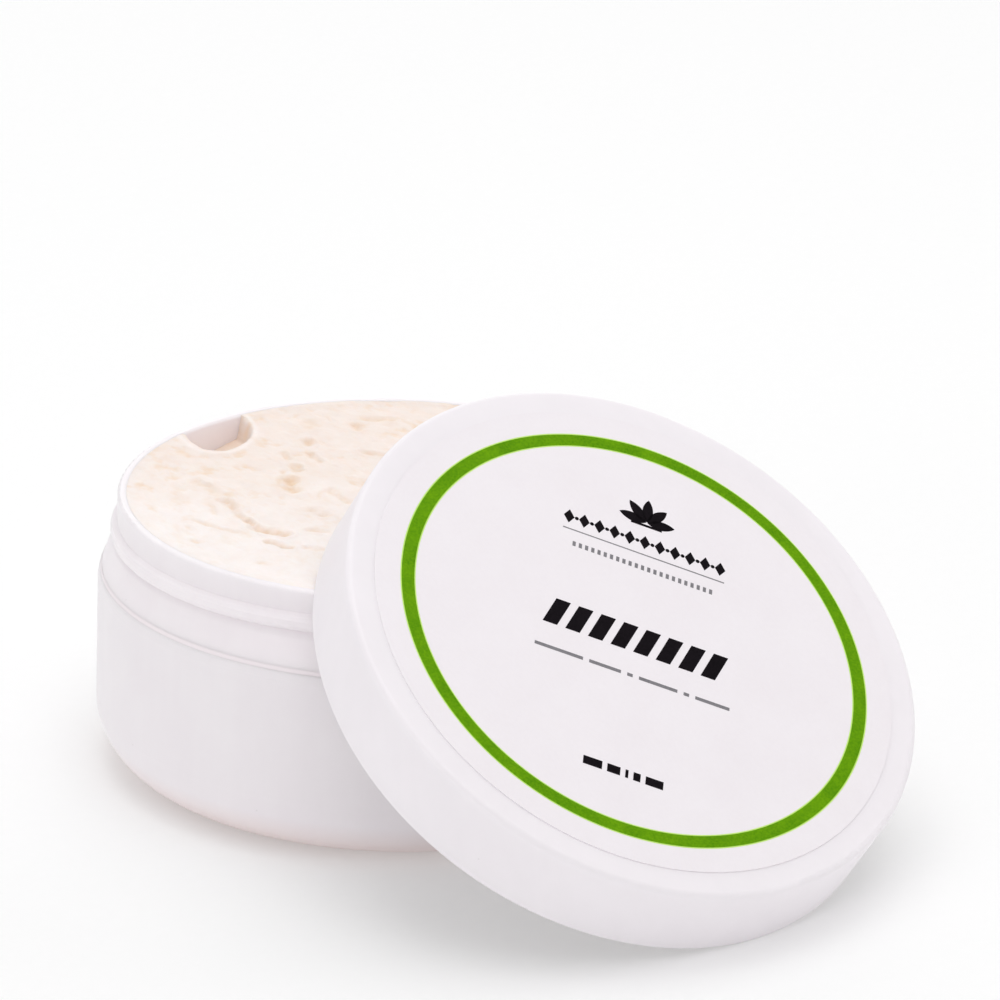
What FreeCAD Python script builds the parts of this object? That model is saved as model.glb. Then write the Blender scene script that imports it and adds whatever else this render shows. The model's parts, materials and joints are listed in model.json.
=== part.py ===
import FreeCAD, Part
import math
import os
import Sketcher

# Open screw-top jar of shaving soap with its labelled lid leaning on the rim.
# Millimetres, +Z up.  The jar stands on Z = 0 with its axis on Z; the lid leans towards -Y.

doc = FreeCAD.newDocument("ShavingSoapJar")
sheet = doc.addObject("Spreadsheet::Sheet", "Sizes")

# Driving sizes, then sizes worked out from them (those that start with "=").
SIZES = [
    # Outer shell of the double-walled jar
    ("jar_radius", "45.0", "outer radius of the jar"),
    ("shell_wall", "1.6", "side wall of the outer shell"),
    ("shell_floor", "2.0", "floor of the outer shell"),
    ("base_round", "10.0", "big radius round the bottom"),
    ("foot_recess_radius", "31.0", "shallow recess inside the foot"),
    ("foot_recess_depth", "0.5", "depth of that recess"),
    ("shell_turn_height", "28.8", "height where the shell's wall starts to turn in"),
    ("shell_lip_radius", "44.78", "radius where its top edge turns over"),
    ("shell_lip_height", "30.0", "height of that turn"),
    ("shell_lip_round", "0.7", "rounding of that turn"),
    ("shell_edge_radius", "44.4", "outer radius of the shell's flat top face"),
    ("seam_height", "30.35", "where the shell's top face meets the shoulder of the cup"),
    # Inner cup: shoulder, neck and rim
    ("jar_height", "42.3", "height of the rim"),
    ("rim_radius", "42.2", "outer radius of rim and neck"),
    ("rim_outer_round", "0.45", "outer edge of the rim"),
    ("rim_inner_round", "0.5", "inner edge of the rim"),
    ("mouth_radius", "40.7", "inner radius at the rim"),
    ("cup_floor_radius", "39.0", "inner radius at the cup's floor"),
    ("cup_floor_height", "18.0", "height of the cup's floor"),
    ("cup_floor_thickness", "1.8", "thickness of the cup's floor"),
    ("cup_inner_round", "6.0", "inside corner of the cup"),
    ("cup_outer_round", "7.0", "outside corner of the cup"),
    ("cup_wall", "1.5", "wall of the hidden part of the cup"),
    ("neck_foot_height", "36.6", "where the straight neck ends"),
    ("flare_radius", "43.0", "radius just under the neck"),
    ("flare_height", "34.9", "height of that radius"),
    ("flare_round", "0.8", "rounding where the neck turns into the sloping shoulder"),
    ("shoulder_radius", "44.42", "radius at the foot of the sloping shoulder"),
    ("shoulder_height", "30.75", "height of that radius"),
    ("seam_radius", "44.3", "radius of the shoulder where it sits on the shell"),
    ("spigot_length", "3.0", "part of the cup that plugs into the shell"),
    ("spigot_clearance", "0.05", "gap between spigot and shell"),
    ("spigot_taper", "1.5", "height of the cone under the spigot"),
    # Screw thread
    ("thread_lead", "4.2", "rise of the thread in one turn"),
    ("thread_turns", "1.03", "turns of thread on the neck"),
    ("thread_radius", "43.2", "crest radius of the thread on the neck"),
    ("thread_start_height", "35.65", "middle of the neck thread at its lower end"),
    ("thread_start_azimuth", "70.0", "direction of that end"),
    ("thread_root_half", "1.9", "half width of the neck thread at its buried root"),
    ("thread_flank_radius", "42.95", "radius where its flank turns into its soft crest"),
    ("thread_flank_half", "0.95", "half width of the neck thread at that radius"),
    ("thread_crest_half", "0.4", "half width of the neck thread at its crest"),
    ("thread_bury", "0.5", "how far the thread's root is buried in its wall"),
    # Soap
    ("soap_edge_height", "41.8", "soap level at the wall"),
    ("soap_crown_height", "42.0", "soap level in the middle"),
    ("scoop_reach", "6.5", "scooped hollow, half size towards the axis"),
    ("scoop_width", "8.0", "scooped hollow, half size along the wall"),
    ("scoop_depth", "4.5", "scooped hollow, depth"),
    ("scoop_azimuth", "96.0", "scooped hollow, direction from the axis"),
    ("scoop_distance", "39.5", "scooped hollow, distance from the axis"),
    ("swipe_reach", "15.0", "finger swipe, half length"),
    ("swipe_width", "1.8", "finger swipe, half width"),
    ("swipe_depth", "0.9", "finger swipe, depth"),
    ("swipe_azimuth", "150.0", "finger swipe, direction from the axis"),
    ("swipe_distance", "25.0", "finger swipe, distance from the axis"),
    ("swipe_heading", "76.0", "finger swipe, direction it runs in"),
    # Lid
    ("lid_radius", "45.4", "outer radius of the lid"),
    ("lid_height", "13.3", "height of the lid"),
    ("lid_deck", "1.8", "thickness of the lid's top"),
    ("lid_wall", "1.7", "wall of the lid's skirt"),
    ("lid_top_round", "0.9", "rounding of the top edge"),
    ("lid_bottom_round", "0.2", "rounding of the skirt's outer bottom edge"),
    ("skirt_edge_width", "0.7", "flat width of the skirt's bottom edge"),
    ("skirt_relief_height", "1.2", "thin lip of the skirt that covers the jar's shoulder"),
    ("skirt_cone_height", "2.6", "top of the lead-in cone above that lip"),
    ("lid_thread_radius", "42.6", "crest radius of the thread in the lid"),
    ("lid_thread_start_height", "5.7", "middle of the lid thread at its lower end"),
    ("lid_thread_turns", "0.8", "turns of thread in the lid"),
    ("lid_root_half", "1.0", "half width of the lid thread at its buried root"),
    ("lid_crest_half", "0.35", "half width of the lid thread at its crest"),
    # Liner and label
    ("liner_radius", "42.2", "radius of the foam liner"),
    ("liner_thickness", "0.7", "thickness of the foam liner"),
    ("liner_gap", "0.05", "gap between liner and lid"),
    ("label_radius", "41.2", "radius of the paper label"),
    ("label_thickness", "0.15", "thickness of the paper label"),
    # How the lid leans on the jar
    ("lid_tilt", "35.0", "tilt of the lid in degrees"),
    ("lid_reach", "54.4", "distance of the lid's top centre from the jar axis"),
    ("table_gap", "0.02", "gap between the skirt and the table"),
    # Worked out from the sizes above
    ("shell_inner_radius", "=jar_radius - shell_wall", "inside of the outer shell"),
    ("spigot_radius", "=shell_inner_radius - spigot_clearance", "outside of the spigot"),
    ("spigot_foot_height", "=seam_height - spigot_length", "bottom of the spigot"),
    ("cup_neck_height", "=spigot_foot_height - spigot_taper", "foot of the cone under the spigot"),
    ("cup_outer_radius", "=mouth_radius + cup_wall", "outside of the hidden cup wall at its top"),
    ("cup_foot_radius", "=cup_floor_radius + cup_wall", "outside of the cup at its foot"),
    ("cup_underside_height", "=cup_floor_height - cup_floor_thickness", "underside of the cup"),
    ("shell_floor_height", "=foot_recess_depth + shell_floor", "inside floor of the outer shell"),
    ("shell_inner_round", "=base_round - shell_wall", "inside corner of the outer shell"),
    ("bore_slope", "=(mouth_radius - cup_floor_radius) / (jar_height - cup_floor_height)", "taper"),
    ("soap_edge_radius", "=cup_floor_radius + bore_slope * (soap_edge_height - cup_floor_height)",
     "soap radius at its top edge"),
    ("thread_root_radius", "=rim_radius - thread_bury", "buried root of the neck thread"),
    ("thread_height", "=thread_lead * thread_turns", "rise of the neck thread"),
    ("lid_thread_height", "=thread_lead * lid_thread_turns", "rise of the lid thread"),
    ("thread_root_low", "=thread_start_height - thread_root_half", "thread profile"),
    ("thread_root_high", "=thread_start_height + thread_root_half", "thread profile"),
    ("thread_flank_low", "=thread_start_height - thread_flank_half", "thread profile"),
    ("thread_flank_high", "=thread_start_height + thread_flank_half", "thread profile"),
    ("thread_crest_low", "=thread_start_height - thread_crest_half", "thread profile"),
    ("thread_crest_high", "=thread_start_height + thread_crest_half", "thread profile"),
    ("skirt_inner_radius", "=lid_radius - lid_wall", "inside of the skirt"),
    ("skirt_edge_radius", "=lid_radius - skirt_edge_width", "inside of the skirt's flat edge"),
    ("deck_underside_height", "=lid_height - lid_deck", "underside of the lid's top"),
    ("lid_root_radius", "=skirt_inner_radius + thread_bury", "buried root of the lid thread"),
    ("lid_root_low", "=lid_thread_start_height - lid_root_half", "lid thread profile"),
    ("lid_root_high", "=lid_thread_start_height + lid_root_half", "lid thread profile"),
    ("lid_crest_low", "=lid_thread_start_height - lid_crest_half", "lid thread profile"),
    ("lid_crest_high", "=lid_thread_start_height + lid_crest_half", "lid thread profile"),
    ("liner_top_height", "=deck_underside_height - liner_gap", "top of the liner"),
    ("liner_bottom_height", "=liner_top_height - liner_thickness", "underside of the liner"),
    ("label_top_height", "=lid_height + label_thickness", "top of the label"),
    # Lid origin: centre of the skirt's bottom edge
    ("lid_base_y", "=-(lid_reach - lid_height * sin(lid_tilt * 1deg))", "lid origin, Y"),
    ("lid_base_z", "=lid_radius * sin(lid_tilt * 1deg) + table_gap", "lid origin, Z"),
]

for row, (alias, content, note) in enumerate(SIZES, start=1):
    sheet.set("A%d" % row, alias)
    sheet.set("B%d" % row, content)
    sheet.set("C%d" % row, note)
    sheet.setAlias("B%d" % row, alias)
doc.recompute()

AXIS = None          # corner coordinate that lies on the sketch axis
FIRST_POINT = 1      # Sketcher's number for the start point of a line
H_AXIS = -1
V_AXIS = -2
NEAR = 1e-3          # two lengths closer than this are the same edge


def size(alias):
    """Value of a named size."""
    return float(sheet.get(alias)) if alias is not AXIS else 0.0


def origin_plane(body, role):
    """The body's own origin plane or axis that has this role."""
    for feature in body.Origin.OriginFeatures:
        if feature.Role == role:
            return feature
    raise ValueError("no origin feature " + role)


def new_body(node):
    """A PartDesign body whose label is the node name."""
    body = doc.addObject("PartDesign::Body", node)
    body.Label = node
    return body


def new_sketch(body, name, role):
    """An empty sketch on one of the body's origin planes."""
    sketch = body.newObject("Sketcher::SketchObject", name)
    sketch.AttachmentSupport = [(origin_plane(body, role), "")]
    sketch.MapMode = "FlatFace"
    return sketch


def pin_coordinate(sketch, line, kind, axis, alias):
    """Tie one coordinate of a line's start point to a named size."""
    if alias is AXIS:
        sketch.addConstraint(Sketcher.Constraint("PointOnObject", line, FIRST_POINT, axis))
        return
    index = sketch.addConstraint(Sketcher.Constraint(kind, line, FIRST_POINT, size(alias)))
    sketch.setExpression("Constraints[%d]" % index, "Sizes." + alias)


def profile_sketch(body, name, corners):
    """A closed profile in the XZ plane; each corner is a pair of size names (radius, height)."""
    sketch = new_sketch(body, name, "XZ_Plane")
    points = [FreeCAD.Vector(size(x), size(z), 0) for x, z in corners]
    count = len(points)
    for i in range(count):
        sketch.addGeometry(Part.LineSegment(points[i], points[(i + 1) % count]), False)
    for i in range(count):
        sketch.addConstraint(Sketcher.Constraint("Coincident", i, 2, (i + 1) % count, FIRST_POINT))
    for i, (x, z) in enumerate(corners):
        pin_coordinate(sketch, i, "DistanceX", V_AXIS, x)
        pin_coordinate(sketch, i, "DistanceY", H_AXIS, z)
    doc.recompute()
    return sketch


def revolve(body, name, corners):
    """A full revolution of a profile about the body's Z axis."""
    sketch = profile_sketch(body, name + "Profile", corners)
    feature = body.newObject("PartDesign::Revolution", name)
    feature.Profile = sketch
    feature.ReferenceAxis = (origin_plane(body, "Z_Axis"), [""])
    feature.Angle = 360
    sketch.Visibility = False
    doc.recompute()
    return feature


def disc(body, name, radius, bottom, top):
    """A flat disc between two heights."""
    return revolve(body, name, [(AXIS, bottom), (radius, bottom), (radius, top), (AXIS, top)])


def helix_ridge(body, name, height, corners):
    """A thread ridge wound round the body's Z axis."""
    sketch = profile_sketch(body, name + "Profile", corners)
    feature = body.newObject("PartDesign::AdditiveHelix", name)
    feature.Profile = sketch
    feature.ReferenceAxis = (origin_plane(body, "Z_Axis"), [""])
    feature.Mode = "pitch-height-angle"
    feature.setExpression("Pitch", "Sizes.thread_lead")
    feature.setExpression("Height", "Sizes." + height)
    sketch.Visibility = False
    doc.recompute()
    return feature


def edge_at(feature, radius, height):
    """Name of the circular edge with this radius at this height."""
    for number, edge in enumerate(feature.Shape.Edges, start=1):
        curve = edge.Curve
        if not isinstance(curve, Part.Circle):
            continue
        if abs(curve.Radius - size(radius)) < NEAR and abs(curve.Center.z - size(height)) < NEAR:
            return "Edge%d" % number
    raise ValueError("no edge %s at %s" % (radius, height))


def round_edges(body, name, rounding, places):
    """Fillet the circular edges at the given (radius, height) places."""
    base = body.Tip
    feature = body.newObject("PartDesign::Fillet", name)
    feature.Base = (base, [edge_at(base, radius, height) for radius, height in places])
    feature.setExpression("Radius", "Sizes." + rounding)
    doc.recompute()
    return feature


def hollow(body, name, kind, heading):
    """Cut an ellipsoid hollow into the soap; its reach points along the heading (degrees)."""
    feature = body.newObject("PartDesign::SubtractiveEllipsoid", name)
    feature.AttachmentSupport = [(origin_plane(body, "XY_Plane"), "")]
    feature.MapMode = "FlatFace"
    azimuth = math.radians(size(kind + "_azimuth"))
    distance = size(kind + "_distance")
    place = FreeCAD.Vector(distance * math.cos(azimuth), distance * math.sin(azimuth), 0)
    turn = FreeCAD.Rotation(FreeCAD.Vector(0, 0, 1), heading)
    feature.AttachmentOffset = FreeCAD.Placement(place, turn)
    feature.setExpression("AttachmentOffset.Base.z", "Sizes.soap_edge_height")
    feature.setExpression("Radius1", "Sizes." + kind + "_depth")
    feature.setExpression("Radius2", "Sizes." + kind + "_reach")
    feature.setExpression("Radius3", "Sizes." + kind + "_width")
    doc.recompute()
    return feature


def lean(body):
    """Put a lid part where the lid leans against the jar."""
    tilt = FreeCAD.Rotation(FreeCAD.Vector(1, 0, 0), size("lid_tilt"))
    body.Placement = FreeCAD.Placement(FreeCAD.Vector(0, 0, 0), tilt)
    body.setExpression("Placement.Base.y", "Sizes.lid_base_y")
    body.setExpression("Placement.Base.z", "Sizes.lid_base_z")
    body.setExpression("Placement.Rotation.Angle", "Sizes.lid_tilt")
    doc.recompute()


# Outer shell: a plain bowl with a big radius round its foot
outer_shell = new_body("outer_shell")
revolve(outer_shell, "ShellWall", [
    (AXIS, "foot_recess_depth"),
    ("foot_recess_radius", "foot_recess_depth"),
    ("foot_recess_radius", AXIS),
    ("jar_radius", AXIS),
    ("jar_radius", "shell_turn_height"),
    ("shell_lip_radius", "shell_lip_height"),
    ("shell_edge_radius", "seam_height"),
    ("shell_inner_radius", "seam_height"),
    ("shell_inner_radius", "shell_floor_height"),
    (AXIS, "shell_floor_height"),
])
round_edges(outer_shell, "ShellFoot", "base_round", [("jar_radius", AXIS)])
round_edges(outer_shell, "ShellInside", "shell_inner_round", [("shell_inner_radius", "shell_floor_height")])
round_edges(outer_shell, "ShellLip", "shell_lip_round", [("shell_lip_radius", "shell_lip_height")])

# Inner cup: rim, neck, shoulder and the hidden cup that holds the soap
inner_cup = new_body("inner_cup")
revolve(inner_cup, "CupWall", [
    (AXIS, "cup_floor_height"),
    ("cup_floor_radius", "cup_floor_height"),
    ("mouth_radius", "jar_height"),
    ("rim_radius", "jar_height"),
    ("rim_radius", "neck_foot_height"),
    ("flare_radius", "flare_height"),
    ("shoulder_radius", "shoulder_height"),
    ("seam_radius", "seam_height"),
    ("spigot_radius", "seam_height"),
    ("spigot_radius", "spigot_foot_height"),
    ("cup_outer_radius", "cup_neck_height"),
    ("cup_foot_radius", "cup_underside_height"),
    (AXIS, "cup_underside_height"),
])
round_edges(inner_cup, "CupInside", "cup_inner_round", [("cup_floor_radius", "cup_floor_height")])
round_edges(inner_cup, "CupOutside", "cup_outer_round", [("cup_foot_radius", "cup_underside_height")])
round_edges(inner_cup, "Flare", "flare_round", [("flare_radius", "flare_height")])
round_edges(inner_cup, "RimOutside", "rim_outer_round", [("rim_radius", "jar_height")])
round_edges(inner_cup, "RimInside", "rim_inner_round", [("mouth_radius", "jar_height")])
helix_ridge(inner_cup, "NeckThread", "thread_height", [
    ("thread_root_radius", "thread_root_low"),
    ("thread_flank_radius", "thread_flank_low"),
    ("thread_radius", "thread_crest_low"),
    ("thread_radius", "thread_crest_high"),
    ("thread_flank_radius", "thread_flank_high"),
    ("thread_root_radius", "thread_root_high"),
])
inner_cup.setExpression("Placement.Rotation.Angle", "Sizes.thread_start_azimuth")

# Soap pressed into the cup, with a scooped hollow at the wall and a finger swipe
soap_fill = new_body("soap_fill")
revolve(soap_fill, "SoapMass", [
    (AXIS, "cup_floor_height"),
    ("cup_floor_radius", "cup_floor_height"),
    ("soap_edge_radius", "soap_edge_height"),
    (AXIS, "soap_crown_height"),
])
round_edges(soap_fill, "SoapFoot", "cup_inner_round", [("cup_floor_radius", "cup_floor_height")])
hollow(soap_fill, "Scoop", "scoop", size("scoop_azimuth"))
hollow(soap_fill, "Swipe", "swipe", size("swipe_heading"))

# Lid shell with its internal thread
lid_shell = new_body("lid_shell")
revolve(lid_shell, "LidWall", [
    (AXIS, "lid_height"),
    ("lid_radius", "lid_height"),
    ("lid_radius", AXIS),
    ("skirt_edge_radius", AXIS),
    ("skirt_edge_radius", "skirt_relief_height"),
    ("skirt_inner_radius", "skirt_cone_height"),
    ("skirt_inner_radius", "deck_underside_height"),
    (AXIS, "deck_underside_height"),
])
round_edges(lid_shell, "LidTopEdge", "lid_top_round", [("lid_radius", "lid_height")])
round_edges(lid_shell, "LidFoot", "lid_bottom_round", [("lid_radius", AXIS), ("skirt_edge_radius", AXIS)])
helix_ridge(lid_shell, "LidThread", "lid_thread_height", [
    ("lid_root_radius", "lid_root_low"),
    ("lid_root_radius", "lid_root_high"),
    ("lid_thread_radius", "lid_crest_high"),
    ("lid_thread_radius", "lid_crest_low"),
])
lean(lid_shell)

# Foam liner under the lid's top, and the paper label on it
lid_liner = new_body("lid_liner")
disc(lid_liner, "Liner", "liner_radius", "liner_bottom_height", "liner_top_height")
lean(lid_liner)

label_disc = new_body("label_disc")
disc(label_disc, "Label", "label_radius", "lid_height", "label_top_height")
lean(label_disc)

doc.recompute()
NODES = [outer_shell, inner_cup, soap_fill, lid_shell, lid_liner, label_disc]
for item in doc.Objects:
    bad_states = [state for state in item.State if state in ("Invalid", "Error")]
    if bad_states:
        raise RuntimeError("%s is %s" % (item.Name, bad_states))

os.makedirs("parts", exist_ok=True)
for node in NODES:
    if not node.Shape.isValid() or len(node.Shape.Solids) != 1:
        raise RuntimeError("bad shape in " + node.Label)
    node.Shape.exportStep("parts/%s.step" % node.Label)
    print("%-12s %10.1f mm3" % (node.Label, node.Shape.Volume))
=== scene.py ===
import json
import math

import bpy
import numpy as np
from mathutils import Matrix, Vector


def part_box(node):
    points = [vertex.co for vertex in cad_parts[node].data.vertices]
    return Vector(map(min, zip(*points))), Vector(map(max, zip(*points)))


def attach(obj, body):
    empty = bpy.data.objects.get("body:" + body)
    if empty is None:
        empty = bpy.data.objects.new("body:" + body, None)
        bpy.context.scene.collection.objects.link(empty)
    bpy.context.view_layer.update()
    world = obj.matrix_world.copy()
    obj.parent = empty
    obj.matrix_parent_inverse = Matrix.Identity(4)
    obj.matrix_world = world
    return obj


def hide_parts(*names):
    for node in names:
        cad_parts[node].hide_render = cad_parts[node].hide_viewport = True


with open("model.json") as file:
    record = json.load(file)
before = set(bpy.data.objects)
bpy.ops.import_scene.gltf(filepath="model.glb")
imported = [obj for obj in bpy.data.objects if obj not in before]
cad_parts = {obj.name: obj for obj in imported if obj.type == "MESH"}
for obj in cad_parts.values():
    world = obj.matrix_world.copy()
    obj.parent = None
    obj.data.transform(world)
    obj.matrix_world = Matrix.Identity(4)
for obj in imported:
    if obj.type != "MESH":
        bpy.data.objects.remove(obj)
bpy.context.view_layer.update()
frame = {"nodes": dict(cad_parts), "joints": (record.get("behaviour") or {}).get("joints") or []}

MM = 0.001

# ---------------------------------------------------------------- places taken from the frame
soap_low, soap_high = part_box("soap_fill")
cup_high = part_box("inner_cup")[1]
shell_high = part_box("outer_shell")[1]
turn = next(joint for joint in frame["joints"] if joint["name"] == "lid_turn")
lid_normal = Vector(turn["axis"]).normalized()
lid_top = Vector(turn["pos_m"])

# ---------------------------------------------------------------- helpers


def srgb(red, green, blue):
    """Linear colour from 8-bit display values."""
    def linear(value):
        value /= 255.0
        return value / 12.92 if value <= 0.04045 else ((value + 0.055) / 1.055) ** 2.4
    return (linear(red), linear(green), linear(blue), 1.0)


# Values that a noise rarely leaves, and the colour sockets of the mix node
NOISE_LOW = 0.3
NOISE_HIGH = 0.7
MIX_COLOUR_INPUTS = (0, 6, 7)
MIX_COLOUR_OUTPUT = 2


class Nodes:
    """A material and short calls that add and join its nodes."""

    def __init__(self, name):
        self.material = bpy.data.materials.new(name)
        self.material.use_nodes = True
        self.tree = self.material.node_tree
        self.shader = self.tree.nodes["Principled BSDF"]
        self.place = self.add("ShaderNodeTexCoord").outputs["Object"]

    def add(self, kind, **values):
        node = self.tree.nodes.new(kind)
        for key, value in values.items():
            setattr(node, key, value)
        return node

    def join(self, source, target):
        self.tree.links.new(source, target)

    def feed(self, node, key, value):
        """Plug an output or a plain value into the socket with this name or number."""
        socket = node.inputs[key]
        if isinstance(value, bpy.types.NodeSocket):
            self.join(value, socket)
        else:
            socket.default_value = value

    def stretch(self, scale, rotation=(0, 0, 0)):
        """Object coordinates scaled and turned, for a noise that runs along a direction."""
        mapping = self.add("ShaderNodeMapping")
        self.join(self.place, mapping.inputs["Vector"])
        mapping.inputs["Scale"].default_value = scale
        mapping.inputs["Rotation"].default_value = rotation
        return mapping.outputs["Vector"]

    def noise(self, grain, detail=4.0, rough=0.55, vector=None):
        """Noise whose features are about this many metres across."""
        node = self.add("ShaderNodeTexNoise")
        self.join(vector or self.place, node.inputs["Vector"])
        node.inputs["Scale"].default_value = 1.0 / grain
        node.inputs["Detail"].default_value = detail
        node.inputs["Roughness"].default_value = rough
        return node.outputs["Fac"]

    def cells(self, grain):
        """Distance from scattered points that are about this many metres apart."""
        node = self.add("ShaderNodeTexVoronoi")
        self.join(self.place, node.inputs["Vector"])
        node.inputs["Scale"].default_value = 1.0 / grain
        return node.outputs["Distance"]

    def remap(self, value, low, high, to_low=0.0, to_high=1.0):
        """Stretch a range of values to another one, cut off at both ends."""
        node = self.add("ShaderNodeMapRange")
        self.feed(node, "Value", value)
        node.inputs["From Min"].default_value = low
        node.inputs["From Max"].default_value = high
        node.inputs["To Min"].default_value = to_low
        node.inputs["To Max"].default_value = to_high
        return node.outputs["Result"]

    def spread(self, value, to_low=0.0, to_high=1.0):
        """Stretch the values that a noise mostly has to a full range."""
        return self.remap(value, NOISE_LOW, NOISE_HIGH, to_low, to_high)

    def combine(self, operation, first, second):
        """Result of a sum, a product or another operation of the math node."""
        node = self.add("ShaderNodeMath", operation=operation)
        self.feed(node, 0, first)
        self.feed(node, 1, second)
        return node.outputs["Value"]

    def faded(self, value, share):
        return self.combine("MULTIPLY", value, share)

    def weighed(self, first, second, share):
        """A share of the first value and the rest of the second."""
        return self.combine("ADD", self.faded(first, share), self.faded(second, 1 - share))

    def mix(self, amount, first, second):
        """Colour between two colours."""
        node = self.add("ShaderNodeMix", data_type="RGBA")
        for key, value in zip(MIX_COLOUR_INPUTS, (amount, first, second)):
            self.feed(node, key, value)
        return node.outputs[MIX_COLOUR_OUTPUT]

    def bump(self, height, depth, before=None):
        """Relief of this many metres."""
        node = self.add("ShaderNodeBump")
        self.join(height, node.inputs["Height"])
        node.inputs["Distance"].default_value = depth
        if before is not None:
            self.join(before, node.inputs["Normal"])
        return node.outputs["Normal"]

    def finish(self, **sockets):
        for name, value in sockets.items():
            self.feed(self.shader, name.replace("_", " "), value)
        return self.material


# ---------------------------------------------------------------- materials

# Depths are in metres; a glow is the share of light that scatters under the surface
# Painted shade and painted warm floor reflection, mixed into the shell's colour near its foot
PAINTED_FOOT_SHADE = srgb(236, 219, 216)
DUST_TONE = srgb(186, 180, 180)
DUST_SPECK = 0.018
DUST_FADED = 0.03
PLASTIC_IOR = 1.49
PLASTIC_DEPTH = 2.0 * MM
SOAP_IOR = 1.45
SOAP_GLOW = 0.25
SOAP_GLOW_RADIUS = (1.0, 0.75, 0.55)
SOAP_DEPTH = 0.8 * MM
SMEAR_HEADING = 82
INK_GLOSS = 0.05
FLOOR_GLOW = 0.22
WHITE = (1.0, 1.0, 1.0, 1.0)


def white_plastic(name, light, shade, roughness, glow, painted_shade_height=None):
    """Moulded white polypropylene: soft clouding, faint flow marks, satin grain, specks of dust.

    With a painted-shade height, the colour turns warmer and darker from there down to the foot: painted
    shade and a painted warm reflection of the floor.
    """
    n = Nodes(name)
    clouds = n.spread(n.noise(grain=14 * MM, detail=3.0))
    flow = n.spread(n.noise(grain=3 * MM, detail=5.0, vector=n.stretch((1.0, 1.0, 0.12))))
    dust = n.remap(n.cells(grain=5.5 * MM), DUST_SPECK, DUST_FADED, to_low=1.0, to_high=0.0)
    colour = n.mix(n.weighed(clouds, flow, share=0.65), shade, light)
    colour = n.mix(n.faded(dust, 0.25), colour, DUST_TONE)
    # Painted shade and painted floor reflection: warmer and darker towards the foot
    if painted_shade_height is not None:
        level = n.add("ShaderNodeSeparateXYZ")
        n.join(n.place, level.inputs["Vector"])
        low = n.remap(level.outputs["Z"], 0.0, painted_shade_height, to_low=1.0, to_high=0.0)
        colour = n.mix(low, colour, PAINTED_FOOT_SHADE)
    satin = n.spread(n.noise(grain=1.2 * MM, detail=6.0, rough=0.65), roughness - 0.05, roughness + 0.06)
    peel = n.bump(n.noise(grain=1.6 * MM, detail=2.0), depth=0.012 * MM)
    relief = n.bump(n.noise(grain=0.22 * MM, detail=3.0), depth=0.004 * MM, before=peel)
    material = n.finish(Base_Color=colour, Roughness=satin, Normal=relief)
    n.shader.inputs["IOR"].default_value = PLASTIC_IOR
    n.shader.inputs["Subsurface Weight"].default_value = glow
    n.shader.inputs["Subsurface Radius"].default_value = (1.0, 1.0, 1.0)
    n.shader.inputs["Subsurface Scale"].default_value = PLASTIC_DEPTH
    return material


def paper(name):
    """Satin paper label: fibres and faint mottling."""
    n = Nodes(name)
    fibres = n.spread(n.noise(grain=0.5 * MM, detail=6.0, rough=0.7, vector=n.stretch((1.0, 0.35, 1.0))))
    mottle = n.spread(n.noise(grain=9 * MM, detail=3.0))
    colour = n.mix(n.weighed(fibres, mottle, share=0.5), srgb(240, 234, 238), srgb(244, 239, 243))
    satin = n.remap(fibres, 0.0, 1.0, to_low=0.42, to_high=0.55)
    relief = n.bump(n.noise(grain=0.35 * MM, detail=5.0, rough=0.6), depth=0.004 * MM)
    return n.finish(Base_Color=colour, Roughness=satin, Normal=relief)


def ink(name, dark, light, grain=0.35 * MM):
    """Printed ink: fine uneven coverage over paper."""
    n = Nodes(name)
    cover = n.remap(n.noise(grain, detail=4.0, rough=0.6), 0.35, 0.65)
    patches = n.spread(n.noise(grain=4 * MM, detail=2.0))
    colour = n.mix(n.weighed(cover, patches, share=0.6), dark, light)
    satin = n.remap(cover, 0.0, 1.0, to_low=0.38, to_high=0.5)
    relief = n.bump(n.noise(grain, detail=3.0), depth=0.003 * MM)
    material = n.finish(Base_Color=colour, Roughness=satin, Normal=relief)
    n.shader.inputs["Specular IOR Level"].default_value = INK_GLOSS
    return material


def foam(name):
    """Closed-cell foam: fine cells and a matt skin."""
    n = Nodes(name)
    cells = n.cells(grain=0.45 * MM)
    colour = n.mix(n.remap(cells, 0.0, 0.6), srgb(226, 224, 222), srgb(242, 241, 239))
    relief = n.bump(cells, depth=0.03 * MM)
    return n.finish(Base_Color=colour, Roughness=0.85, Normal=relief)


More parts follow.
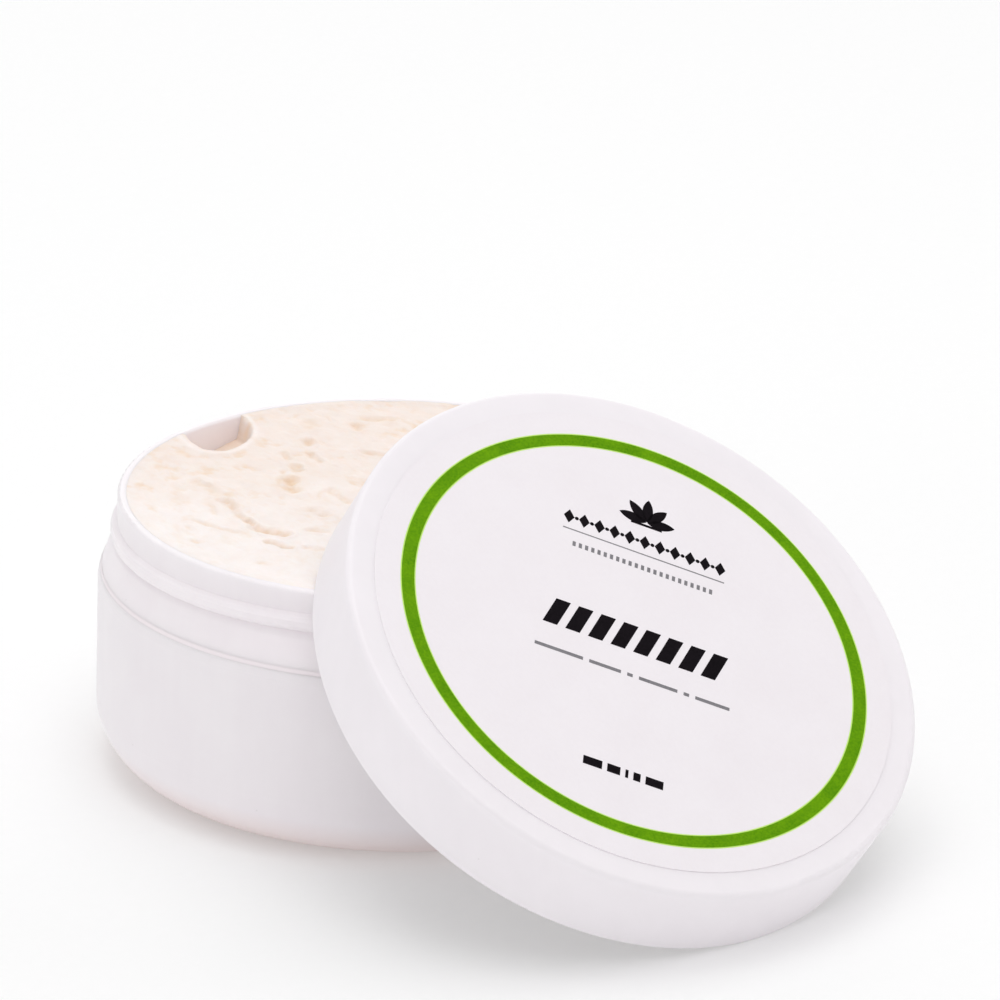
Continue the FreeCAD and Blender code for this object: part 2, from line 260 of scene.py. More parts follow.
def soap_paste(name):
    """Soft soap: cream body, warmer and darker toward the back right (a warm tint with painted shade), tan
    in the pits, smeared flecks, fine crumbs, moist sheen in places.
    """
    n = Nodes(name)
    pits = n.add("ShaderNodeAttribute", attribute_name="pit").outputs["Fac"]
    warm_and_shade = n.add("ShaderNodeAttribute", attribute_name="warm_and_shade").outputs["Fac"]
    smeared = n.stretch((1.0, 0.45, 1.0), (0, 0, math.radians(90 - SMEAR_HEADING)))
    clouds = n.remap(n.noise(grain=6 * MM, detail=5.0, rough=0.65), 0.35, 0.65, to_low=-0.2, to_high=0.2)
    grains = n.remap(n.noise(grain=0.8 * MM, detail=5.0, rough=0.7), 0.35, 0.7)
    flecks = n.remap(n.noise(grain=2.1 * MM, detail=6.0, rough=0.66, vector=smeared), 0.48, 0.72)
    fleck_share = n.combine("MULTIPLY", flecks, n.remap(warm_and_shade, 0.0, 1.0, to_low=0.2, to_high=0.5))
    # Warm tint with painted shade toward the back right
    body = n.mix(n.combine("ADD", warm_and_shade, clouds), srgb(249, 241, 238), srgb(240, 227, 219))
    body = n.mix(n.faded(grains, 0.22), body, srgb(243, 226, 217))
    body = n.mix(fleck_share, body, srgb(239, 216, 199))
    colour = n.mix(pits, body, srgb(237, 210, 183))
    sheen = n.remap(n.noise(grain=2.2 * MM, detail=4.0), 0.35, 0.65, to_low=0.4, to_high=0.62)
    streaks = n.bump(n.noise(grain=1.3 * MM, detail=6.0, rough=0.7, vector=smeared), depth=0.08 * MM)
    crumbs = n.bump(n.noise(grain=0.8 * MM, detail=6.0, rough=0.7), depth=0.07 * MM, before=streaks)
    fine = n.bump(n.noise(grain=0.28 * MM, detail=4.0, rough=0.6), depth=0.03 * MM, before=crumbs)
    material = n.finish(Base_Color=colour, Roughness=sheen, Normal=fine)
    n.shader.inputs["IOR"].default_value = SOAP_IOR
    n.shader.inputs["Subsurface Weight"].default_value = SOAP_GLOW
    n.shader.inputs["Subsurface Radius"].default_value = SOAP_GLOW_RADIUS
    n.shader.inputs["Subsurface Scale"].default_value = SOAP_DEPTH
    return material


def table_top(name):
    """Plain pale floor, lit in part from within so that it stays white."""
    n = Nodes(name)
    grain = n.spread(n.noise(grain=2 * MM, detail=3.0))
    colour = n.mix(grain, srgb(223, 223, 223), srgb(224, 224, 224))
    material = n.finish(Base_Color=colour, Roughness=0.9)
    n.shader.inputs["Specular IOR Level"].default_value = 0.0
    n.shader.inputs["Emission Color"].default_value = WHITE
    n.shader.inputs["Emission Strength"].default_value = FLOOR_GLOW
    return material


SHELL_PLASTIC = white_plastic(
    "shell_plastic", srgb(243, 238, 241), srgb(239, 233, 237), roughness=0.38, glow=0.45, painted_shade_height=7 * MM)
CUP_PLASTIC = white_plastic(
    "cup_plastic", srgb(246, 240, 243), srgb(242, 235, 239), roughness=0.36, glow=0.45)
LID_PLASTIC = white_plastic(
    "lid_plastic", srgb(245, 240, 244), srgb(241, 236, 240), roughness=0.46, glow=0.15)
FLASH_PLASTIC = white_plastic(
    "flash_plastic", srgb(244, 236, 239), srgb(241, 232, 236), roughness=0.5, glow=0.0)
LABEL_PAPER = paper("label_paper")
LINER_FOAM = foam("liner_foam")
SOAP_PASTE = soap_paste("soap")
GREEN_INK = ink("green_ink", srgb(78, 136, 0), srgb(112, 166, 4))
LIME_INK = ink("lime_ink", srgb(192, 232, 112), srgb(204, 238, 130))
BLACK_INK = ink("black_ink", srgb(8, 4, 8), srgb(22, 16, 22))
GREY_INK = ink("grey_ink", srgb(120, 118, 122), srgb(140, 138, 142))


def dress(node, material):
    """Give a CAD node its material."""
    mesh = frame["nodes"][node].data
    mesh.materials.clear()
    mesh.materials.append(material)


dress("outer_shell", SHELL_PLASTIC)
dress("inner_cup", CUP_PLASTIC)
dress("lid_shell", LID_PLASTIC)
dress("lid_liner", LINER_FOAM)
dress("label_disc", LABEL_PAPER)

# ---------------------------------------------------------------- new pieces


def add_piece(name, points, faces, material):
    """An object made of one closed mesh."""
    mesh = bpy.data.meshes.new(name)
    mesh.from_pydata(points, [], faces)
    mesh.materials.append(material)
    piece = bpy.data.objects.new(name, mesh)
    bpy.context.scene.collection.objects.link(piece)
    return piece


def band_faces(corners, steps):
    """Faces of a ring whose section has this many corners, listed step after step."""
    faces = []
    for k in range(steps):
        here = corners * k
        after = corners * ((k + 1) % steps)
        for side in range(corners):
            following = (side + 1) % corners
            faces.append([here + side, after + side, after + following, here + following])
    return faces


# ---------------------------------------------------------------- soap

SPOKES = 720
RINGS = 170
RING_CROWDING = 1.6
CUP_FLOOR_RADIUS = 39.0 * MM
WALL_GAP = 0.03 * MM
WALL_GRIP = 0.18 * MM
FOOT_ROUND = 6.0 * MM
FOOT_STEPS = 8
SOAP_CREASE = math.radians(60)
SIDE_STEPS = 7
EDGE_SHARE = 0.999
soap_radius = soap_high.x
soap_level = cup_high.z - 0.38 * MM
floor_level = soap_low.z
highest_soap = cup_high.z - 0.06 * MM

TABLE_SIZE = 256
TABLE_CENTRE = (128.37, 128.71)

# Noises over the soap's surface: size of the largest features in mm, seed, octaves, what each octave keeps
SWELL = {"cell": 19.0, "seed": 3, "layers": 3}
SMEAR = {"cell": 2.1, "seed": 11, "layers": 3}
CRUMBS = {"cell": 3.4, "seed": 21, "layers": 5, "fade": 0.6}
WOBBLE_X = {"cell": 8.0, "seed": 31}
WOBBLE_Y = {"cell": 8.0, "seed": 41}
WORKED_EDGE = {"cell": 16, "seed": 51}
BOWL_EDGE = {"cell": 4.0, "seed": 61, "layers": 3}
SPECKLE = {"cell": 1.3, "seed": 71, "layers": 3, "fade": 0.6}
WARM_SHADE_EDGE = {"cell": 12, "seed": 81, "layers": 3}
FRAY_X = {"cell": 1.8, "seed": 91, "layers": 3}
FRAY_Y = {"cell": 1.8, "seed": 101, "layers": 3}
PATCHES = {"cell": 1.5, "seed": 111, "layers": 3}

# Lengths in mm, heights in mm, headings in degrees, the rest are shares
WOBBLE = 1.1
FRAY = 0.45
BACKWARD = (0.69, 0.72)
WORKED_START = 8
WORKED_FRAY = 7
WORKED_BLEND = 7.0
# Warm tint and painted shade toward the back right
WARM_SHADE_START = 26
WARM_SHADE_FRAY = 5
WARM_SHADE_BLEND = 44.0
WARM_SHADE_LIP_LOSS = 0.6
SWELL_HEIGHT = 0.24
WORKED_HEIGHT = 0.16
SMEAR_STRETCH = 0.2
SMEAR_HEIGHT = 0.07
CRUMB_HEIGHT = 0.04
WORKED_CRUMB_HEIGHT = 0.15
SPECKLE_STRETCH = 0.5
PIT_FROM_CRUMBS = 1.3
PIT_FROM_SPECKLE = 0.9
PIT_THRESHOLD = 0.30
PIT_CALM_SHARE = 0.15
PIT_WORKED_SHARE = 0.85
PIT_DEPTH = 0.12

# Gouges left by the brush and the scoop, in mm from the jar's axis: start, end, half width, depth
GOUGES = (
    ((-21.0, 22.5), (-22.2, 14.5), 0.9, 0.25),
    ((-22.1, 14.2), (-22.6, 11.0), 0.8, 0.60),
    ((-22.6, 11.0), (-24.4, 5.2), 0.7, 0.32),
    ((-24.2, 5.6), (-24.6, 4.2), 0.7, 0.50),
    ((-25.0, 2.6), (-23.6, -2.4), 1.0, 0.65),
    ((-24.6, 15.0), (-26.3, 10.4), 0.6, 0.15),
    ((-30.9, 9.9), (-28.6, 2.7), 0.6, 0.20),
    ((-27.5, -3.0), (-26.9, -6.4), 0.7, 0.40),
    ((-33.4, 8.2), (-33.7, 7.2), 0.6, 0.20),
    ((-36.2, 3.6), (-35.8, 2.4), 0.7, 0.22),
    ((3.9, 26.4), (3.4, 25.3), 1.0, 0.60),
    ((0.8, 21.7), (-0.9, 17.6), 0.8, 0.45),
    ((-5.3, 18.3), (-5.8, 17.1), 0.9, 0.60),
    ((-9.2, 14.8), (-11.8, 11.0), 1.3, 0.62),
    ((-2.4, 24.5), (-3.6, 21.7), 0.7, 0.30),
    ((9.2, 32.8), (8.4, 31.0), 1.3, 0.30),
    ((13.7, 27.2), (13.0, 25.6), 1.0, 0.42),
    ((16.8, 28.4), (19.9, 26.0), 0.9, 0.28),
    ((7.5, 17.2), (8.7, 14.8), 0.8, 0.30),
    ((-7.1, 7.6), (-7.1, 2.4), 0.8, 0.30),
    ((-13.8, 3.0), (-13.8, 1.2), 1.1, 0.28),
    ((-19.2, -3.1), (-17.5, -5.3), 0.9, 0.28),
    ((-24.5, -8.2), (-23.1, -10.7), 0.8, 0.18),
    ((-33.6, -9.2), (-33.5, -10.4), 0.6, 0.18),
)
GOUGE_WIDTH_SHARE = 0.8
GOUGE_SHARPNESS = 1.1
GOUGE_TONE_SHARPNESS = 0.6
GOUGE_RIDGE = 0.22
GOUGE_RIDGE_REACH = 1.9
GOUGE_RIDGE_WIDTH = 0.6
GOUGE_TONE = 0.2
GOUGE_TONE_BY_DEPTH = 1.2
PATCHY_MEAN = 0.75
PATCHY_LEAST = 0.2
PATCHY_MOST = 1.3

# Crest pushed up beside the long gouge, in mm from the jar's axis
CREST = ((-16.3, 32.9), (-18.5, 27.2), (-19.9, 21.9), (-19.9, 16.0), (-21.0, 9.5), (-21.6, 1.0))
CREST_HEIGHT = 0.13
CREST_WIDTH = 1.1

# The scoop by the far wall
SCOOP = (-4.6, 38.6)
SCOOP_LENGTH = 9.8
SCOOP_WIDTH = 5.6
SCOOP_HEADING = 235
SCOOP_DEPTH = 4.2
SCOOP_TILT = 0.3
SCOOP_FRAY = 0.04
SCOOP_SLOPE = 0.26
SCOOP_SLOPE_TILT = 1.4
SCOOP_SLOPE_LEAST = 0.7
SCOOP_SLOPE_MOST = 3.0
SCOOP_SMOOTHING = 0.6
SCOOP_TONE = 0.45
LIP_REACH = 1.08
LIP_WIDTH = 0.09
LIP_HEIGHT = 0.24

# Soap wiped up against the wall
WALL_SMEAR_HEADING = 165
WALL_SMEAR_HEIGHT = 0.35
WALL_SMEAR_START = 0.45
WALL_SMEAR_BLEND = 0.3
WALL_SMEAR_BAND = 0.1
WALL_CLIMB = 0.27
WALL_CLIMB_BAND = 0.05


def smooth_step(value):
    value = np.clip(value, 0, 1)
    return value * value * (3 - 2 * value)


def lattice_noise(x, y, cell, seed):
    """Smooth noise between -1 and 1 with features about one cell across."""
    table = np.random.default_rng(seed).uniform(-1, 1, (TABLE_SIZE, TABLE_SIZE))
    u = x / cell + TABLE_CENTRE[0]
    v = y / cell + TABLE_CENTRE[1]
    i = np.floor(u).astype(int)
    j = np.floor(v).astype(int)
    a = u - i
    b = v - j
    a = a * a * (3 - 2 * a)
    b = b * b * (3 - 2 * b)
    i0 = i % TABLE_SIZE
    j0 = j % TABLE_SIZE
    i1 = (i + 1) % TABLE_SIZE
    j1 = (j + 1) % TABLE_SIZE
    low = table[i0, j0] * (1 - a) + table[i1, j0] * a
    high = table[i0, j1] * (1 - a) + table[i1, j1] * a
    return low * (1 - b) + high * b


def layered(x, y, cell, seed, layers=4, fade=0.5):
    """Several octaves of lattice noise."""
    total = np.zeros_like(x)
    share, scale = 1.0, 0.0
    for k in range(layers):
        total += share * lattice_noise(x, y, cell / 2 ** k, seed + k)
        scale += share
        share *= fade
    return total / scale


def turned(x, y, heading):
    """Coordinates along and across a heading in degrees."""
    c = math.cos(math.radians(heading))
    s = math.sin(math.radians(heading))
    return x * c + y * s, -x * s + y * c


def from_line(x, y, start, end):
    """Distance from the straight line between two points."""
    run_x = end[0] - start[0]
    run_y = end[1] - start[1]
    share = ((x - start[0]) * run_x + (y - start[1]) * run_y) / (run_x ** 2 + run_y ** 2)
    share = np.clip(share, 0, 1)
    return np.hypot(x - start[0] - share * run_x, y - start[1] - share * run_y)


def worked_texture(x, y, wobble_x, wobble_y, worked):
    """Height and pits of the swells, smears and crumbs, stronger where the soap has been worked."""
    height = WORKED_HEIGHT * worked + SWELL_HEIGHT * layered(x, y, **SWELL)
    along, across = turned(wobble_x, wobble_y, SMEAR_HEADING)
    smear = layered(along * SMEAR_STRETCH, across, **SMEAR)
    height += (SMEAR_HEIGHT + SMEAR_HEIGHT * worked) * smear
    crumbs = layered(wobble_x, wobble_y, **CRUMBS)
    height += (CRUMB_HEIGHT + WORKED_CRUMB_HEIGHT * worked) * crumbs
    speckle = layered(along * SPECKLE_STRETCH, across, **SPECKLE)
    pit = np.clip(-PIT_FROM_CRUMBS * crumbs - PIT_FROM_SPECKLE * speckle - PIT_THRESHOLD, 0, 1)
    pit = pit * (PIT_CALM_SHARE + PIT_WORKED_SHARE * worked)
    height -= PIT_DEPTH * pit
    return height, pit


def add_gouges(x, y, wobble_x, wobble_y, height, pit):
    """Cut the gouges, with frayed sides, patchy depth and a low ridge beside each, and raise the crest."""
    frayed_x = wobble_x + FRAY * layered(x, y, **FRAY_X)
    frayed_y = wobble_y + FRAY * layered(x, y, **FRAY_Y)
    patchy = np.clip(PATCHY_MEAN + PATCHY_MEAN * layered(x, y, **PATCHES), PATCHY_LEAST, PATCHY_MOST)
    for start, end, half_width, depth in GOUGES:
        away = from_line(frayed_x, frayed_y, start, end) / (GOUGE_WIDTH_SHARE * half_width)
        hollow = np.exp(-GOUGE_SHARPNESS * away ** 2) * patchy
        height -= depth * hollow
        height += GOUGE_RIDGE * depth * np.exp(-((away - GOUGE_RIDGE_REACH) / GOUGE_RIDGE_WIDTH) ** 2)
        tone = min(1.0, GOUGE_TONE + GOUGE_TONE_BY_DEPTH * depth)
        pit = np.maximum(pit, np.exp(-GOUGE_TONE_SHARPNESS * away ** 2) * patchy * tone)
    for start, end in zip(CREST, CREST[1:]):
        away = from_line(wobble_x, wobble_y, start, end) / CREST_WIDTH
        height += CREST_HEIGHT * np.exp(-away ** 2)
    return height, pit


def scoop_out(x, y, height):
    """Height with the scoop in it, the share of each point that is in its bowl, and its raised lip."""
    along, across = turned(x - SCOOP[0], y - SCOOP[1], SCOOP_HEADING)
    reach = np.hypot(along / SCOOP_LENGTH, across / SCOOP_WIDTH) + SCOOP_FRAY * layered(x, y, **BOWL_EDGE)
    tilt = 1 - SCOOP_SLOPE_TILT * across / SCOOP_WIDTH
    slope = SCOOP_SLOPE * np.clip(tilt, SCOOP_SLOPE_LEAST, SCOOP_SLOPE_MOST)
    bowl = smooth_step((1 - reach) / slope)
    depth = SCOOP_DEPTH * (1 - SCOOP_TILT * across / SCOOP_WIDTH)
    height = height * (1 - SCOOP_SMOOTHING * bowl) - depth * bowl
    lip = np.exp(-((reach - LIP_REACH) / LIP_WIDTH) ** 2)
    height += LIP_HEIGHT * lip
    return height, bowl, lip


def soap_height(x, y):
    """Height above the soap's level, how deep in a pit, and how warm in colour with painted shade toward the
    back right, for points in mm.
    """
    backward = BACKWARD[1] * y + BACKWARD[0] * x
    wobble_x = x + WOBBLE * layered(x, y, **WOBBLE_X)
    wobble_y = y + WOBBLE * layered(x, y, **WOBBLE_Y)
    worked_reach = backward + WORKED_START + WORKED_FRAY * layered(x, y, **WORKED_EDGE)
    worked = 1 / (1 + np.exp(-worked_reach / WORKED_BLEND))
    height, pit = worked_texture(x, y, wobble_x, wobble_y, worked)
    height, pit = add_gouges(x, y, wobble_x, wobble_y, height, pit)
    height, bowl, lip = scoop_out(x, y, height)
    edge = np.hypot(x, y) / (soap_radius / MM)
    toward_smear, _ = turned(x, y, WALL_SMEAR_HEADING)
    smeared = smooth_step((toward_smear / (soap_radius / MM) - WALL_SMEAR_START) / WALL_SMEAR_BLEND)
    smeared = smeared * smooth_step((edge - (1 - WALL_SMEAR_BAND)) / WALL_SMEAR_BAND)
    climb = WALL_CLIMB * smooth_step((edge - (1 - WALL_CLIMB_BAND)) / WALL_CLIMB_BAND)
    height += (WALL_SMEAR_HEIGHT * smeared + climb) * (1 - bowl)
    pit = np.clip(pit * (1 - lip), 0, 1) * (1 - bowl) + SCOOP_TONE * bowl
    # Warm tint and painted shade toward the back right, less on the scoop's lip
    warm_and_shade = smooth_step((backward + WARM_SHADE_START + WARM_SHADE_FRAY * layered(x, y, **WARM_SHADE_EDGE)) / WARM_SHADE_BLEND)
    warm_and_shade = warm_and_shade * (1 - WARM_SHADE_LIP_LOSS * lip)
    return np.minimum(height, (highest_soap - soap_level) / MM), np.clip(pit, 0, 1), warm_and_shade


def wall_radius(level):
    """Radius of the cup's tapering wall at this level, just short of touching."""
    slope = (soap_radius - CUP_FLOOR_RADIUS) / (soap_level - floor_level)
    return CUP_FLOOR_RADIUS + slope * (level - floor_level) - WALL_GAP


def ring_points(spokes, radius, level):
    return np.column_stack([radius * np.cos(spokes), radius * np.sin(spokes), level])


def soap_rings(spokes):
    """Rings of points from the middle of the top outwards, down the side and round the foot."""
    shares = np.sqrt(np.linspace(0, 1, RINGS + 1)[1:] ** RING_CROWDING)
    grid_x = (soap_radius / MM) * shares[:, None] * np.cos(spokes)[None, :]
    grid_y = (soap_radius / MM) * shares[:, None] * np.sin(spokes)[None, :]
    height, pit, warm_and_shade = soap_height(grid_x.ravel(), grid_y.ravel())
    level = soap_level + height * MM
    share_of_point = np.repeat(shares, SPOKES)
    wall_level = np.where(share_of_point > EDGE_SHARE, level, soap_level)
    reach = share_of_point * wall_radius(wall_level)
    reach[-SPOKES:] += WALL_GAP + WALL_GRIP
    rings = [ring_points(np.tile(spokes, RINGS), reach, level)]
    edge_level = level[-SPOKES:]
    for k in range(1, SIDE_STEPS):
        share = k / SIDE_STEPS
        ring_level = edge_level * (1 - share) + (floor_level + FOOT_ROUND) * share
        rings.append(ring_points(spokes, wall_radius(ring_level), ring_level))
    for k in range(FOOT_STEPS + 1):
        bend = 0.5 * math.pi * k / FOOT_STEPS
        ring_level = floor_level + FOOT_ROUND * (1 - math.sin(bend)) + WALL_GAP
        radius = wall_radius(floor_level) - FOOT_ROUND * (1 - math.cos(bend))
        rings.append(ring_points(spokes, radius, np.full(SPOKES, ring_level)))
    return rings, pit, warm_and_shade


def soap_faces(ring_count, last_point):
    """Faces between the rings, closed by fans round the middle of the top and of the underside."""
    faces = []
    here = np.arange(SPOKES)
    after = (here + 1) % SPOKES
    for ring in range(ring_count - 1):
        low = 1 + ring * SPOKES
        high = low + SPOKES
        faces += np.column_stack([low + here, high + here, high + after, low + after]).tolist()
    faces += np.column_stack([np.zeros(SPOKES, int), 1 + here, 1 + after]).tolist()
    last = 1 + (ring_count - 1) * SPOKES
    faces += np.column_stack([np.full(SPOKES, last_point), last + after, last + here]).tolist()
    return faces


def make_soap():
    """The soap as one closed mesh: a worked top, a smooth side and a plain underside."""
    spokes = np.linspace(0, 2 * math.pi, SPOKES, endpoint=False)
    rings, pit, warm_and_shade = soap_rings(spokes)
    centre_height, centre_pit, centre_warm_and_shade = soap_height(np.zeros(1), np.zeros(1))
    top_centre = [[0, 0, soap_level + centre_height[0] * MM]]
    foot_centre = [[0, 0, floor_level + WALL_GAP]]
    points = np.vstack([top_centre] + rings + [foot_centre])
    faces = soap_faces(len(rings) - 1 + RINGS, len(points) - 1)
    piece = add_piece("soap_surface", points.tolist(), faces, SOAP_PASTE)
    piece.data.shade_smooth()
    piece.data.set_sharp_from_angle(angle=SOAP_CREASE)
    below = np.zeros(len(points) - 1 - len(pit))
    for name, first, values in (("pit", centre_pit, pit), ("warm_and_shade", centre_warm_and_shade, warm_and_shade)):
        attribute = piece.data.attributes.new(name, "FLOAT", "POINT")
        attribute.data.foreach_set("value", np.concatenate([first, values, below]).astype(np.float32))
    return piece


soap = make_soap()
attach(soap, "jar")
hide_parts("soap_fill")

# ---------------------------------------------------------------- joint line of the jar

# Corners of the flash that fills the joint, in mm outwards and upwards from the shell's top edge
FLASH_SECTION = ((-0.72, 0.10), (-0.60, -0.10), (-0.40, -0.16), (-0.56, 0.42))


def make_flash():
    """The thin flash of plastic in the joint between the outer shell and the cup's shoulder."""
    points = []
    for k in range(SPOKES):
        angle = 2 * math.pi * k / SPOKES
        for outwards, upwards in FLASH_SECTION:
            radius = shell_high.x + outwards * MM
            points.append((radius * math.cos(angle), radius * math.sin(angle), shell_high.z + upwards * MM))
    faces = band_faces(len(FLASH_SECTION), SPOKES)
    return add_piece("joint_flash", points, faces, FLASH_PLASTIC)


flash = make_flash()
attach(flash, "jar")

# ---------------------------------------------------------------- print on the label

LABEL_THICKNESS = 0.15 * MM
PRINT_THICKNESS = 0.02 * MM
PRINT_BURY = 0.01 * MM
PRINT_TURN = math.radians(-39.0)


def label_frame():
    """Matrix from the print's own axes to the label's top face."""
    across = Vector((1, 0, 0))
    up = lid_normal.cross(across)
    right = across * math.cos(PRINT_TURN) + up * math.sin(PRINT_TURN)
    upward = lid_normal.cross(right)
    origin = lid_top + lid_normal * LABEL_THICKNESS
    matrix = Matrix((right, upward, lid_normal)).transposed().to_4x4()
    return Matrix.Translation(origin) @ matrix


LABEL_FRAME = label_frame()


def on_label(x, y, level):
    """Place of a point of the print given in mm across and up the label."""
    return LABEL_FRAME @ Vector((x * MM, y * MM, level))


def add_label_piece(name, points, faces, material):
    """A piece of print, which goes where the lid goes."""
    piece = add_piece(name, points, faces, material)
    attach(piece, "lid")
    return piece


def add_print(name, outlines, material):
    """Thin printed shapes, each a closed prism over its outline in mm."""
    points, faces = [], []
    for outline in outlines:
        base = len(points)
        count = len(outline)
        for level in (-PRINT_BURY, PRINT_THICKNESS):
            points += [on_label(x, y, level) for x, y in outline]
        faces.append([base + k for k in reversed(range(count))])
        faces.append([base + count + k for k in range(count)])
        for k in range(count):
            following = (k + 1) % count
            faces.append([base + k, base + following, base + count + following, base + count + k])
    return add_label_piece(name, points, faces, material)


def add_ring(name, inner, outer, material, steps=256):
    """A printed ring as a closed band."""
    section = (
        (inner, -PRINT_BURY),
        (outer, -PRINT_BURY),
        (outer, PRINT_THICKNESS),
        (inner, PRINT_THICKNESS),
    )
    points = []
    for k in range(steps):
        angle = 2 * math.pi * k / steps
        for radius, level in section:
            points.append(on_label(radius * math.cos(angle), radius * math.sin(angle), level))
    return add_label_piece(name, points, band_faces(len(section), steps), material)


def bar(cx, cy, width, height, slant=0.0):
    """A straight or slanted bar."""
    x = width / 2
    y = height / 2
    return [
        (cx - x - slant, cy - y),
        (cx + x - slant, cy - y),
        (cx + x + slant, cy + y),
        (cx - x + slant, cy + y),
    ]


def diamond(cx, cy, width, height):
    return [(cx - width / 2, cy), (cx, cy - height / 2), (cx + width / 2, cy), (cx, cy + height / 2)]


def disc(cx, cy, radius, steps=24):
    angles = [2 * math.pi * k / steps for k in range(steps)]
    return [(cx + radius * math.cos(angle), cy + radius * math.sin(angle)) for angle in angles]


def leaf(cx, cy, length, width, heading, steps=10, fullness=0.8):
    """A pointed oval that starts at (cx, cy) and grows along the heading."""
    c = math.cos(math.radians(heading))
    s = math.sin(math.radians(heading))
    outward = [k / steps for k in range(steps)]
    homeward = [1 - share for share in outward]
    outline = []
    for side, shares in ((1, outward), (-1, homeward)):
        for share in shares:
            along = length * share
            across = side * 0.5 * width * math.sin(math.pi * share) ** fullness
            outline.append((cx + along * c - across * s, cy + along * s + across * c))
    return outline[::-1]


def bars_in_row(total, lengths, gap, y, height):
    """Bars of the given lengths in a row, centred and scaled to a total width."""
    scale = (total - gap * (len(lengths) - 1)) / sum(lengths)
    shapes = []
    x = -total / 2
    for length in lengths:
        width = length * scale
        shapes.append(bar(x + width / 2, y, width, height))
        x += width + gap
    return shapes


# Lengths in mm; heights on the label are counted from its middle
RING_INNER = 34.99
RING_OUTER = 37.0
RING_BLEED = 0.18
LEAF_HEADINGS = (8, 48, 90, 132, 172)
LEAF_START = 0.12
LEAF_LENGTH = 4.4
LEAF_WIDTH = 1.7
EMBLEM_HEIGHT = 22.6
DIAMONDS = 11
DIAMOND_PITCH = 2.44
ORNAMENT_HEIGHT = 18.7
DOTS = 23
STRIPES = 8
STRIPE_PITCH = 3.6


def centred_row(count, pitch):
    """Places of evenly spaced marks, centred on the label."""
    return [pitch * (k - (count - 1) / 2) for k in range(count)]


def emblem():
    """A tuft of leaves over a short bar."""
    shapes = []
    for heading in LEAF_HEADINGS:
        start_x = LEAF_START * math.cos(math.radians(heading))
        start_y = LEAF_START * math.sin(math.radians(heading))
        shapes.append(leaf(start_x, start_y + EMBLEM_HEIGHT, LEAF_LENGTH, LEAF_WIDTH, heading))
    shapes.append(bar(0, 22.0, width=5.0, height=0.45))
    return shapes


def ornament_row():
    """Diamonds with small discs between them."""
    shapes = [diamond(x, ORNAMENT_HEIGHT, 1.7, 2.6) for x in centred_row(DIAMONDS, DIAMOND_PITCH)]
    shapes += [disc(x, ORNAMENT_HEIGHT, radius=0.32) for x in centred_row(DIAMONDS - 1, DIAMOND_PITCH)]
    return shapes


dots = [bar(x, 13.7, width=0.5, height=0.9) for x in centred_row(DOTS, pitch=1.0)]
stripes = [bar(x, -0.35, width=2.3, height=5.0, slant=0.9) for x in centred_row(STRIPES, STRIPE_PITCH)]
fine_line = bars_in_row(31.0, (7.0, 4.6, 0.8, 5.6, 0.8, 5.0), gap=1.0, y=-7.4, height=0.6)
foot_line = bars_in_row(12.6, (3.2, 2.2, 0.5, 1.2, 3.0), gap=0.8, y=-25.9, height=1.5)

add_ring("print_ring", RING_INNER, RING_OUTER, GREEN_INK)
add_ring("print_ring_inner_edge", RING_INNER - RING_BLEED, RING_INNER, LIME_INK)
add_ring("print_ring_outer_edge", RING_OUTER, RING_OUTER + RING_BLEED, LIME_INK)
add_print("print_emblem", emblem(), BLACK_INK)
add_print("print_ornament_row", ornament_row(), BLACK_INK)
add_print("print_rule", [bar(0, 16.3, width=26.0, height=0.2)], GREY_INK)
add_print("print_dots", dots, GREY_INK)
add_print("print_stripes", stripes, BLACK_INK)
add_print("print_fine_line", fine_line, GREY_INK)
add_print("print_foot_line", foot_line, BLACK_INK)

# ---------------------------------------------------------------- floor, light, camera

FLOOR_REACH = 2.0
FLOOR_DROP = 0.05 * MM
WORLD_STRENGTH = 0.57
LIGHT_TARGET = Vector((0, -0.03, 0.02))

# Soft boxes: name, azimuth and elevation in degrees, distance and size in metres, power in watts
SOFT_BOXES = (
    ("left_back", 110, 35, 0.9, 0.6, 0.5),
    ("right", -35, 15, 0.9, 0.6, 1.2),
    ("top", 50, 80, 0.9, 0.8, 2.4),
    ("front_top", -130, 70, 1.0, 0.6, 1.4),
    ("low_left", -170, 8, 1.0, 0.6, 1.65),
    ("back", 50, 20, 1.2, 0.8, 1.95),
)

floor_mesh = bpy.data.meshes.new("floor")
floor_corners = [(x * FLOOR_REACH, y * FLOOR_REACH, 0) for x, y in ((-1, -1), (1, -1), (1, 1), (-1, 1))]
floor_mesh.from_pydata(floor_corners, [], [(0, 1, 2, 3)])
floor_mesh.materials.append(table_top("floor"))
floor = bpy.data.objects.new("floor", floor_mesh)
floor.location.z = -FLOOR_DROP
bpy.context.scene.collection.objects.link(floor)

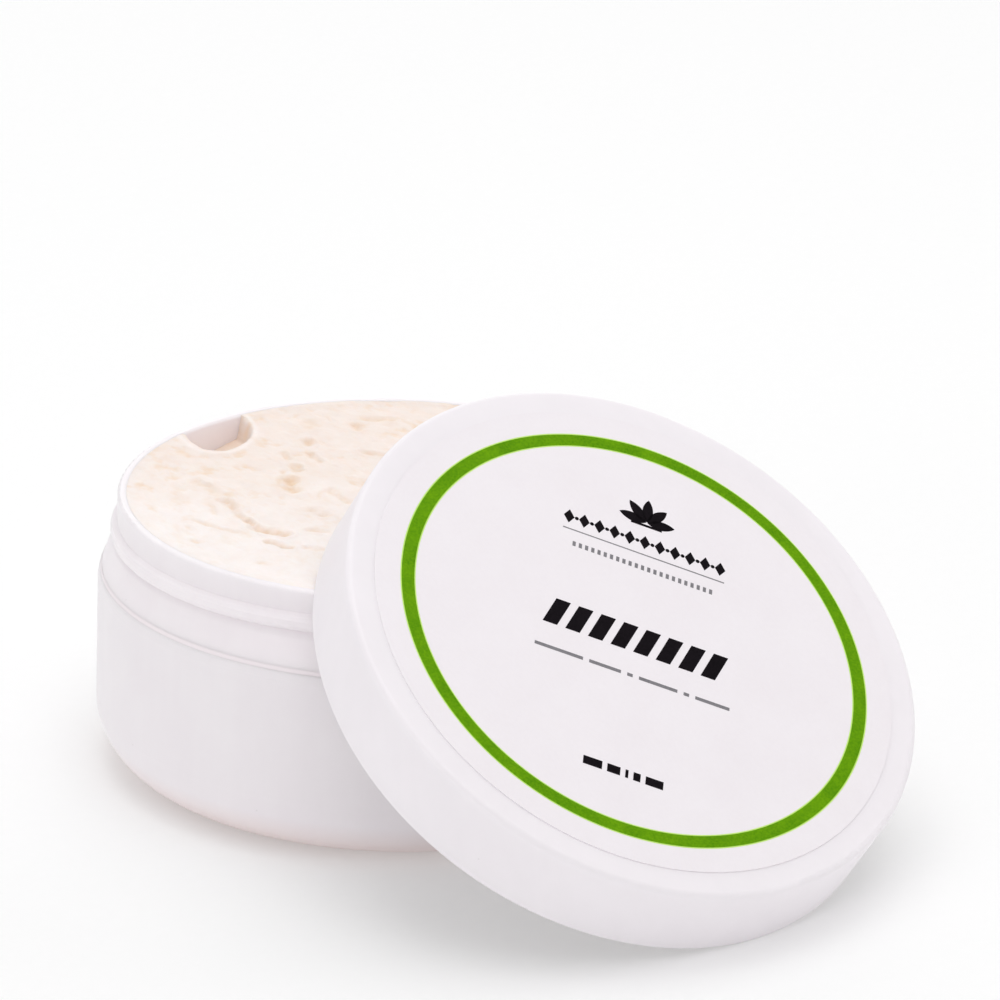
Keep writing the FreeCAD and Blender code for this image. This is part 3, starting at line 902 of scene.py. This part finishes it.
world = bpy.data.worlds.new("studio")
bpy.context.scene.world = world
world.use_nodes = True
world.node_tree.nodes["Background"].inputs["Color"].default_value = WHITE
world.node_tree.nodes["Background"].inputs["Strength"].default_value = WORLD_STRENGTH


def direction(azimuth, elevation):
    """Unit vector from angles in radians."""
    return Vector((
        math.cos(azimuth) * math.cos(elevation),
        math.sin(azimuth) * math.cos(elevation),
        math.sin(elevation),
    ))


def soft_box(name, azimuth, elevation, distance, size, power):
    """A square area light that looks at the object."""
    light = bpy.data.lights.new(name, "AREA")
    light.size = size
    light.energy = power
    lamp = bpy.data.objects.new(name, light)
    spot = direction(math.radians(azimuth), math.radians(elevation)) * distance
    lamp.location = LIGHT_TARGET + spot
    lamp.rotation_euler = (-spot).to_track_quat("-Z", "Y").to_euler()
    bpy.context.scene.collection.objects.link(lamp)


for values in SOFT_BOXES:
    soft_box(*values)

CAMERA_STAND = 1066.6 * MM
CAMERA_HEIGHT = 452.5 * MM
CAMERA_AZIMUTH = math.radians(-130.147)
CAMERA_HEADING = math.radians(49.032)
CAMERA_PITCH = math.radians(21.053)
CAMERA_ROLL = math.radians(1.90)
SENSOR = 36.0
LENS = 273.6
CLIP_NEAR = 0.05
CLIP_FAR = 20.0

camera_data = bpy.data.cameras.new("camera")
camera_data.sensor_width = SENSOR
camera_data.lens = LENS
camera_data.clip_start = CLIP_NEAR
camera_data.clip_end = CLIP_FAR
camera = bpy.data.objects.new("camera", camera_data)
bpy.context.scene.collection.objects.link(camera)
look = direction(CAMERA_HEADING, -CAMERA_PITCH)
level_right = look.cross(Vector((0, 0, 1))).normalized()
level_up = level_right.cross(look)
right = level_right * math.cos(CAMERA_ROLL) + level_up * math.sin(CAMERA_ROLL)
up = level_up * math.cos(CAMERA_ROLL) - level_right * math.sin(CAMERA_ROLL)
stand = direction(CAMERA_AZIMUTH, 0) * CAMERA_STAND
stand.z = CAMERA_HEIGHT
aim = Matrix((right, up, -look)).transposed().to_4x4()
camera.matrix_world = Matrix.Translation(stand) @ aim
bpy.context.scene.camera = camera
bpy.context.scene.view_settings.view_transform = "Standard"
bpy.context.scene.view_settings.look = "None"
